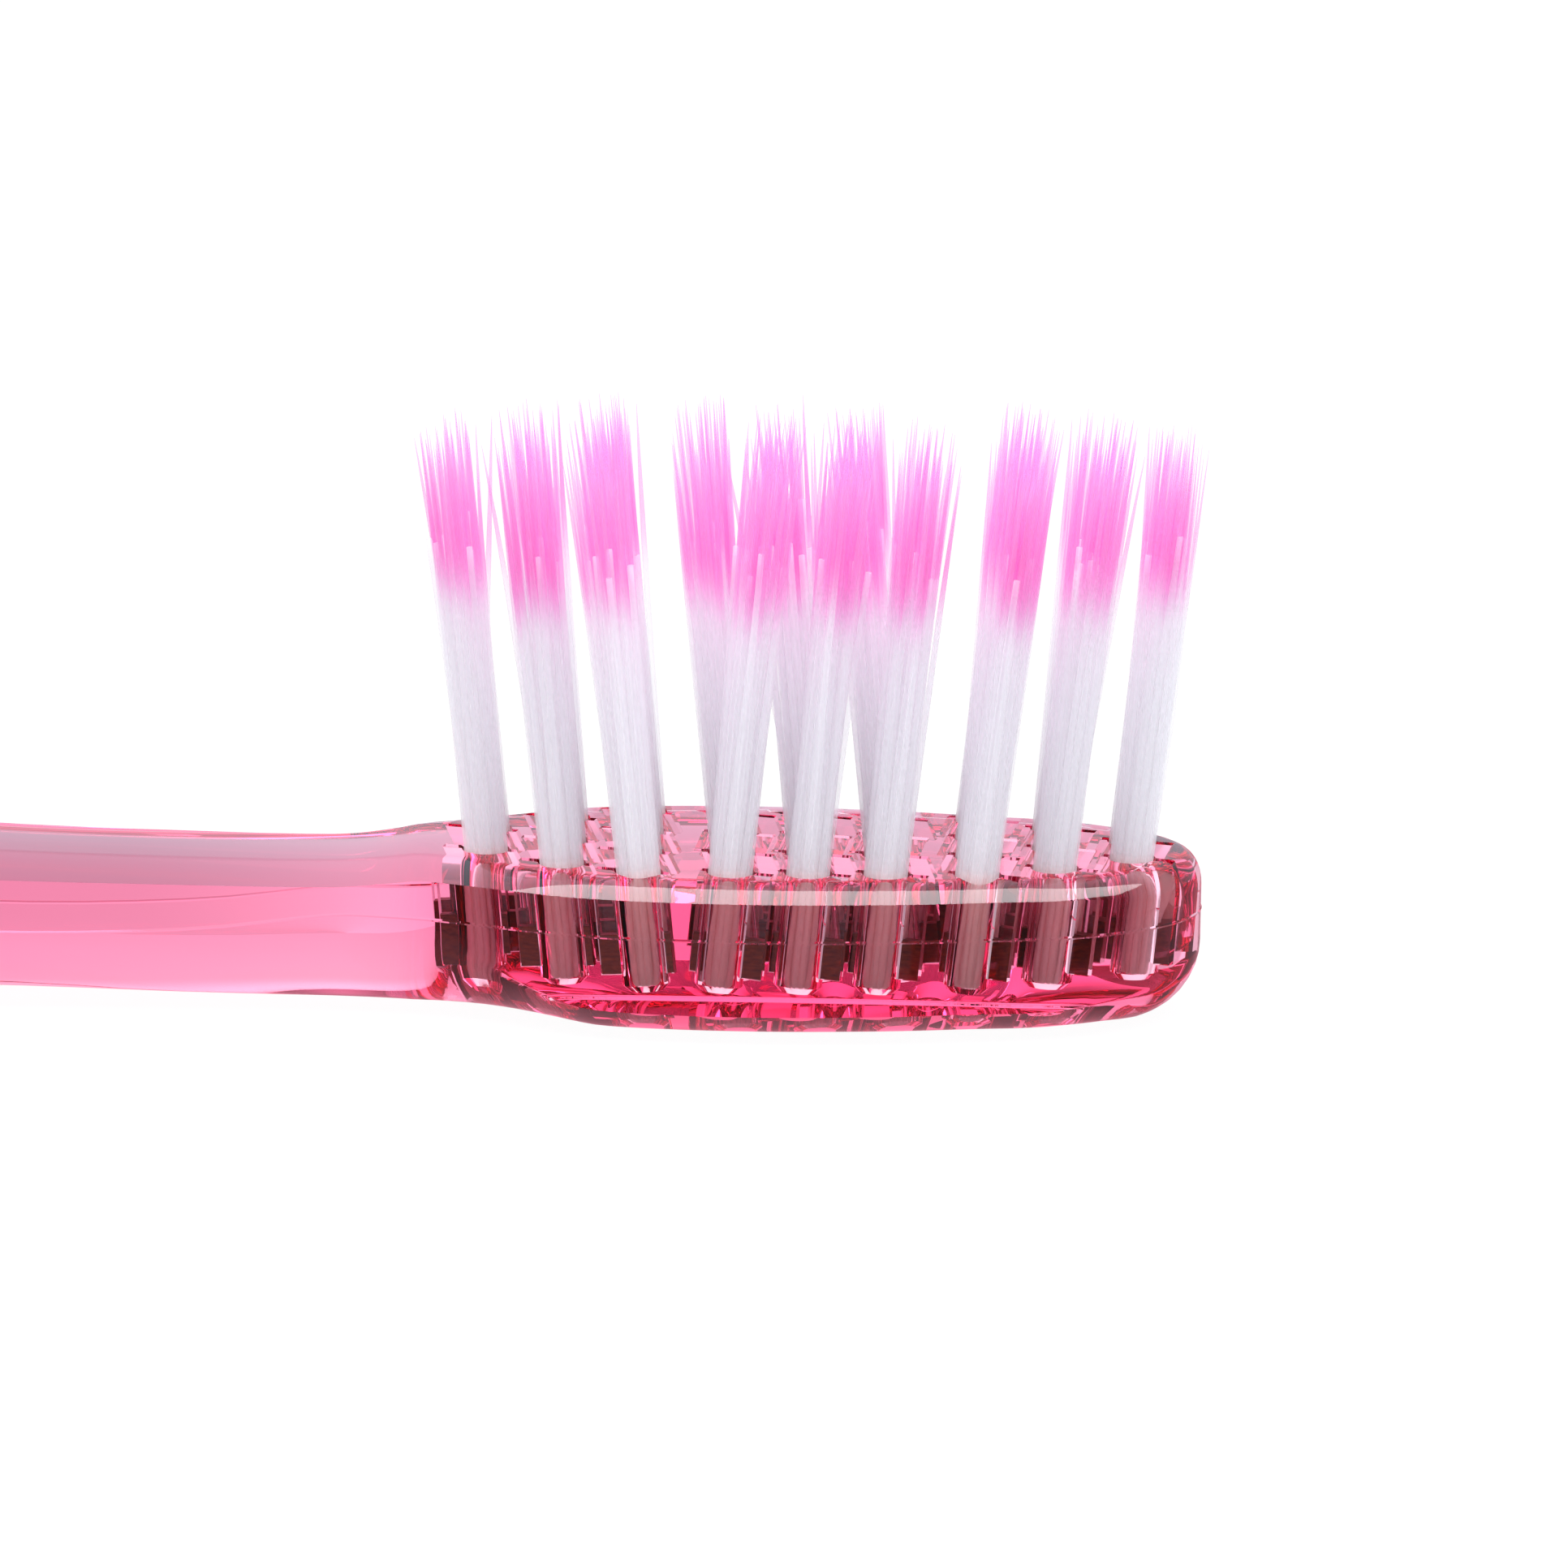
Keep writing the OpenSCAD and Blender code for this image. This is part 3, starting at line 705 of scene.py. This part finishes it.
def makeFloor(s):
    # White paper sweep: it glows white for the camera and keeps the object's shadow. In reflections and
    # through the plastic its glow carries painted light and shade: dim before the brush, pink in
    # reflections, brighter round the head and darker under the brush
    material, tree = newMaterial("whitePaperSweep")
    paper = addNode(tree, "ShaderNodeBsdfDiffuse", values={"Color": hexColour(s["colour"])})
    rays = addNode(tree, "ShaderNodeLightPath")
    place = addNode(tree, "ShaderNodeTexCoord")
    split = addNode(tree, "ShaderNodeSeparateXYZ", links={0: place.outputs["Object"]})
    pool = addNode(tree, "ShaderNodeMapRange", {"interpolation_type": "SMOOTHSTEP"}, {
        "From Min": s["poolStart"], "From Max": s["poolEnd"], "To Min": 1.0, "To Max": s["pool"]},
        {"Value": split.outputs["X"]})
    levels = []
    # painted shade before the brush, rising to the levels beside it
    for front, beside, edge in ((s["mirrored"], s["nearMirrored"], s["edgeMirrored"]),
                                (s["refracted"], s["near"], s["edge"])):
        depth = addNode(tree, "ShaderNodeMapRange", values={
            "From Min": edge[0], "From Max": edge[1], "To Min": front, "To Max": beside},
            links={"Value": split.outputs["Y"]})
        levels.append(depth.outputs["Result"])
    off = addNode(tree, "ShaderNodeMath", {"operation": "SUBTRACT"}, {1: s["underMiddle"]},
                  {0: split.outputs["Y"]})
    away = addNode(tree, "ShaderNodeMath", {"operation": "ABSOLUTE"}, links={0: off.outputs[0]})
    under = addNode(tree, "ShaderNodeMapRange", {"interpolation_type": "SMOOTHSTEP"},
                    {"From Min": s["underHalf"], "From Max": s["underHalf"] + s["underFade"],
                     "To Min": s["under"], "To Max": 1.0}, {"Value": away.outputs[0]})
    for part in (pool, under):
        levels[1] = addNode(tree, "ShaderNodeMath", {"operation": "MULTIPLY"}, links={
            0: levels[1], 1: part.outputs["Result"]}).outputs[0]
    level = rayLevel(tree, rays, *levels, s["diffuse"], s["glow"])
    # painted pink light: in reflections the floor glows pink
    colour = addNode(tree, "ShaderNodeMix", {"data_type": "RGBA"}, {
        6: (1, 1, 1, 1), 7: hexColour(s["paintedPinkLight"])}, {0: rays.outputs["Is Glossy Ray"]})
    colour = addNode(tree, "ShaderNodeMix", {"data_type": "RGBA"}, {7: (1, 1, 1, 1)}, {
        0: rays.outputs["Is Transmission Ray"], 6: colour.outputs[2]})
    glow = addNode(tree, "ShaderNodeEmission", links={"Color": colour.outputs[2], "Strength": level})
    both = addNode(tree, "ShaderNodeAddShader", links={
        0: paper.outputs["BSDF"], 1: glow.outputs["Emission"]})
    addNode(tree, "ShaderNodeOutputMaterial", links={"Surface": both.outputs["Shader"]})
    bm = bmesh.new()
    bmesh.ops.create_grid(bm, x_segments=1, y_segments=1, size=s["reach"])
    bmesh.ops.translate(bm, vec=(0, 0, -s["below"]), verts=bm.verts)
    floor = storeMesh(bm, "floor", material)


def makeLight(s):
    world = bpy.data.worlds.new("studio")
    bpy.context.scene.world = world
    world.use_nodes = True
    tree = world.node_tree
    tree.nodes.clear()
    rays = addNode(tree, "ShaderNodeLightPath")
    place = addNode(tree, "ShaderNodeTexCoord")
    split = addNode(tree, "ShaderNodeSeparateXYZ", links={0: place.outputs["Generated"]})
    ceiling = addNode(tree, "ShaderNodeMapRange", {"interpolation_type": "SMOOTHSTEP"}, {
        "From Min": s["ceiling"][0], "From Max": s["ceiling"][1], "To Max": s["above"]},
        {"Value": split.outputs["Z"]})
    levels = []
    for front, back in ((s["mirrored"], s["back"]), (s["refracted"], s["backThrough"])):
        studio = addNode(tree, "ShaderNodeMapRange", values={
            "From Min": s["sides"][0], "From Max": s["sides"][1], "To Min": front, "To Max": back},
            links={"Value": split.outputs["Y"]})
        levels.append(addNode(tree, "ShaderNodeMath", {"operation": "ADD"}, links={
            0: studio.outputs["Result"], 1: ceiling.outputs["Result"]}).outputs[0])
    level = rayLevel(tree, rays, *levels, s["diffuse"], 1.0)
    daylight = addNode(tree, "ShaderNodeMix", {"data_type": "RGBA"}, {
        6: hexColour(s["colour"]), 7: hexColour(s["throughColour"])}, {
        0: rays.outputs["Is Transmission Ray"]})
    colour = addNode(tree, "ShaderNodeMix", {"data_type": "RGBA"}, {7: (1, 1, 1, 1)}, {
        0: rays.outputs["Is Camera Ray"], 6: daylight.outputs[2]})
    sky = addNode(tree, "ShaderNodeBackground", links={"Color": colour.outputs[2], "Strength": level})
    addNode(tree, "ShaderNodeOutputWorld", links={"Surface": sky.outputs["Background"]})
    for box in s["softboxes"]:
        data = bpy.data.lights.new(box["name"], "AREA")
        data.shape, data.size, data.size_y, data.energy = "RECTANGLE", *box["size"], box["power"]
        lamp = bpy.data.objects.new(box["name"], data)
        lamp.location = box["place"]
        towards = Vector(box["aim"]) - Vector(box["place"])
        lamp.rotation_euler = towards.to_track_quat("-Z", "Y").to_euler()
        bpy.context.scene.collection.objects.link(lamp)


# light crosses many walls inside the clear head, and many filaments in a tuft
bounceSettings = {
    "max_bounces": 40, "transmission_bounces": 36, "transparent_max_bounces": 64,
    "diffuse_bounces": 16, "glossy_bounces": 12,
}

makeFloor(floorSettings)
makeLight(lightSettings)
scene = bpy.context.scene
scene.view_settings.view_transform = "Standard"
for name, most in bounceSettings.items():
    setattr(scene.cycles, name, most)
print("floor and light set")
